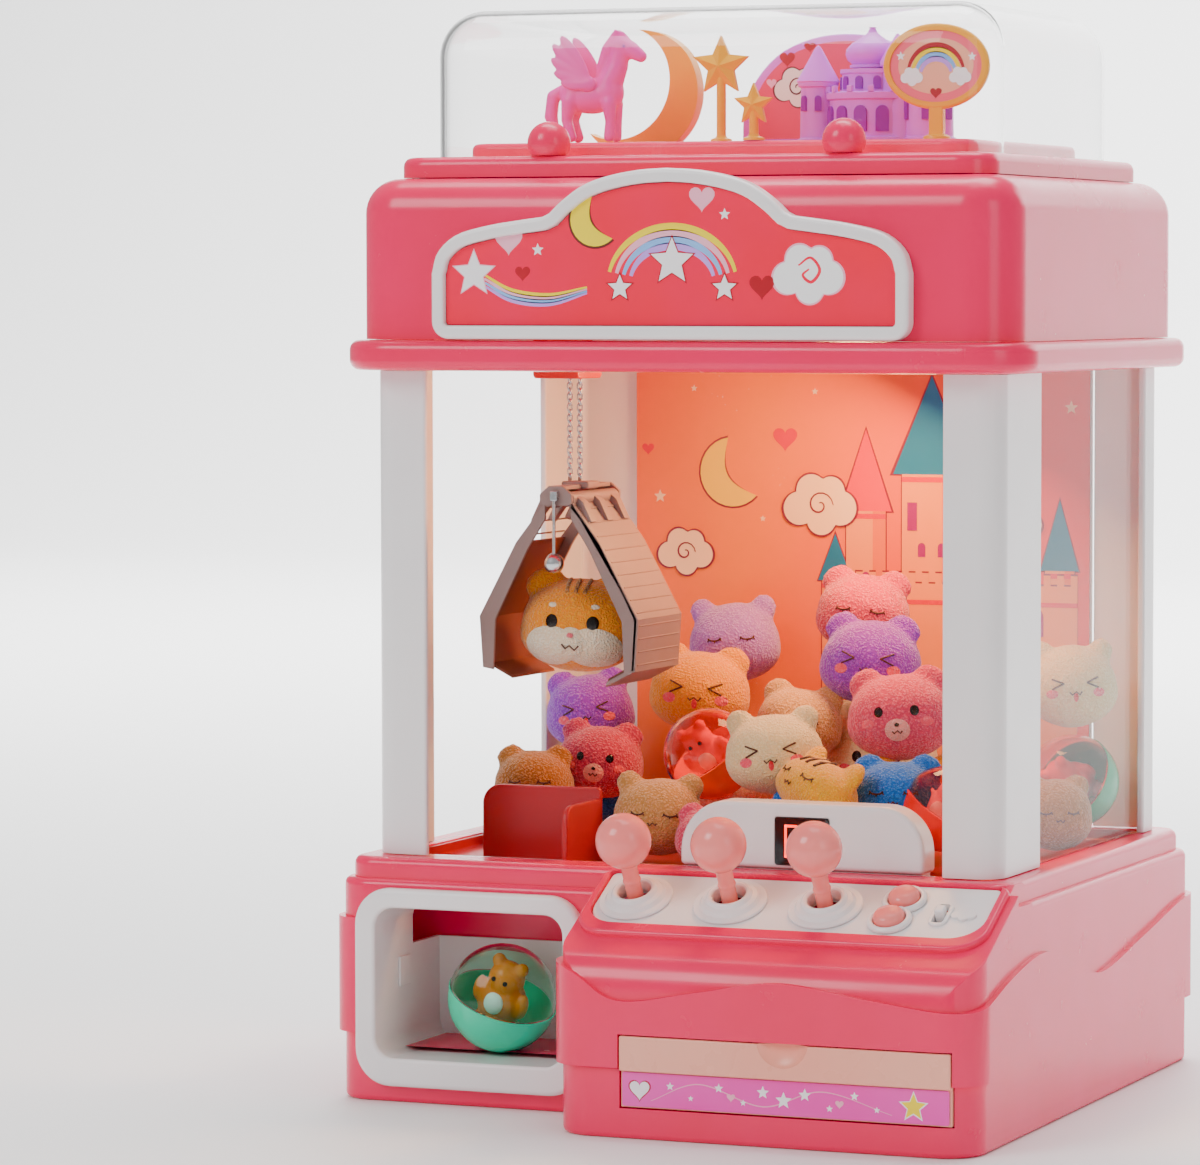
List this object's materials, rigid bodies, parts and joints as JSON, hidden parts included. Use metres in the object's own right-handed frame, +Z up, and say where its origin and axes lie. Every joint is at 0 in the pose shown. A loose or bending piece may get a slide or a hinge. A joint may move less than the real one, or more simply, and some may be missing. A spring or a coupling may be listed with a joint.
{
  "type": "claw crane machine",
  "caption": "Table-top toy claw crane: pink cabinet with windows, lever console, prize bay, drawer, hanging two-jaw claw over soft prizes, and a clear dome with a fairy-tale scene on top.",
  "frame": {"origin": "middle of the footprint's bounding rectangle, on the surface the machine stands on", "axes": "+Z up; -Y towards the player, the side with the console, the prize bay and the drawer; +X to the right as seen by the player"},
  "size_m": [0.2924, 0.2886, 0.437],
  "materials": {
    "pink_plastic": "satin",
    "deep_pink_plastic": "gloss",
    "red_plastic": "satin",
    "white_plastic": "gloss",
    "salmon_plastic": "gloss",
    "peach_plastic": "satin",
    "label": "printed",
    "print": "printed",
    "lilac_plastic": "satin",
    "gold_plastic": "satin",
    "pony_plastic": "satin",
    "taupe_plastic": "satin",
    "trolley_plastic": "gloss",
    "teal_plastic": "gloss",
    "green_clear": "clear",
    "clear": "clear",
    "black_window": "gloss",
    "steel": "polished",
    "orange_plush": "terry",
    "lilac_plush": "terry",
    "cream_plush": "terry",
    "rose_plush": "terry",
    "ivory_plush": "terry"
  },
  "bodies": {
    "cabinet": {"base_tray": "pink_plastic", "base_shell": "pink_plastic", "canopy_flange": "pink_plastic", "canopy_shell": "pink_plastic", "top_plate": "pink_plastic", "dome_knob_left": "pink_plastic", "dome_knob_right": "pink_plastic", "sign_panel": "deep_pink_plastic", "bed_tub": "red_plastic", "bay_liner": "white_plastic", "post_front_left": "white_plastic", "post_front_right": "white_plastic", "post_rear_left": "white_plastic", "post_rear_right": "white_plastic", "display_housing": "white_plastic", "control_panel": "white_plastic", "escutcheon_left": "white_plastic", "escutcheon_middle": "white_plastic", "escutcheon_right": "white_plastic", "button_bezel": "white_plastic", "sign_frame": "white_plastic", "dome_arch_board": "lilac_plastic", "dome_castle": "lilac_plastic", "dome_moon": "gold_plastic", "dome_star_tall": "gold_plastic", "dome_star_small": "gold_plastic", "dome_oval_sign": "gold_plastic", "dome_pony": "pony_plastic", "bay_capsule_cup": "teal_plastic", "bay_capsule_lid": "green_clear", "window_front": "clear", "window_left": "clear", "window_right": "clear", "dome": "clear", "display_window": "black_window", "rail_left": "steel", "rail_right": "steel", "prizes_left": "lilac_plush", "prizes_middle": "cream_plush", "prizes_right": "rose_plush", "prizes_side": "ivory_plush"},
    "rear_door": {"rear_door": "white_plastic", "backdrop": "print"},
    "bridge": {"crane_bridge": "white_plastic"},
    "trolley": {"crane_trolley": "trolley_plastic"},
    "hoist": {"claw_hub": "taupe_plastic", "claw_weight": "steel", "chain_left": "steel", "chain_right": "steel", "held_plush": "orange_plush"},
    "claw_left": {"claw_shell_left": "taupe_plastic"},
    "claw_right": {"claw_shell_right": "taupe_plastic"},
    "lever_left": {"lever_left": "salmon_plastic"},
    "lever_middle": {"lever_middle": "salmon_plastic"},
    "lever_right": {"lever_right": "salmon_plastic"},
    "button_rear": {"button_rear": "salmon_plastic"},
    "button_front": {"button_front": "salmon_plastic"},
    "mode_switch": {"mode_switch": "white_plastic"},
    "drawer": {"drawer": "peach_plastic", "drawer_label": "label"}
  },
  "joints": [
    {"name": "rear_door_hinge", "type": "hinge", "parent": "cabinet", "child": "rear_door", "pos_m": [-0.1034, 0.12685, 0.195], "axis": [0, 0, 1], "range_deg": [0, 95]},
    {"name": "bridge_travel", "type": "slide", "parent": "cabinet", "child": "bridge", "axis": [0, 1, 0], "range_m": [-0.005, 0.055]},
    {"name": "trolley_travel", "type": "slide", "parent": "bridge", "child": "trolley", "axis": [1, 0, 0], "range_m": [-0.012, 0.115]},
    {"name": "claw_hoist", "type": "slide", "parent": "trolley", "child": "hoist", "axis": [0, 0, 1], "range_m": [-0.025, 0.035]},
    {"name": "claw_left_hinge", "type": "hinge", "parent": "hoist", "child": "claw_left", "pos_m": [-0.0652, -0.03575, 0.241], "axis": [0, 1, 0], "range_deg": [0, 22]},
    {"name": "claw_right_hinge", "type": "hinge", "parent": "hoist", "child": "claw_right", "pos_m": [-0.0568, -0.03575, 0.241], "axis": [0, -1, 0], "range_deg": [0, 22]},
    {"name": "lever_left_tilt", "type": "hinge", "parent": "cabinet", "child": "lever_left", "pos_m": [-0.008, -0.10435, 0.08755], "axis": [0, 0.8838, 0.4679], "range_deg": [-18, 18], "stiffness_Nm_per_rad": 0.06},
    {"name": "lever_middle_tilt", "type": "hinge", "parent": "cabinet", "child": "lever_middle", "pos_m": [0.0317, -0.10435, 0.08755], "axis": [1, 0, 0], "range_deg": [-18, 18], "stiffness_Nm_per_rad": 0.06},
    {"name": "lever_right_tilt", "type": "hinge", "parent": "cabinet", "child": "lever_right", "pos_m": [0.071, -0.10435, 0.08755], "axis": [1, 0, 0], "range_deg": [-18, 18], "stiffness_Nm_per_rad": 0.06},
    {"name": "button_rear_press", "type": "slide", "parent": "cabinet", "child": "button_rear", "axis": [0, 0.4679, -0.8838], "range_m": [0, 0.002], "stiffness_N_per_m": 300},
    {"name": "button_front_press", "type": "slide", "parent": "cabinet", "child": "button_front", "axis": [0, 0.4679, -0.8838], "range_m": [0, 0.002], "stiffness_N_per_m": 300},
    {"name": "mode_switch_slide", "type": "slide", "parent": "cabinet", "child": "mode_switch", "axis": [0, 0.8838, 0.4679], "range_m": [-0.003, 0.003]},
    {"name": "drawer_slide", "type": "slide", "parent": "cabinet", "child": "drawer", "axis": [0, -1, 0], "range_m": [0, 0.058]}
  ],
  "couplings": [
    {"joint": "claw_right_hinge", "follows": "claw_left_hinge", "ratio": 1}
  ]
}
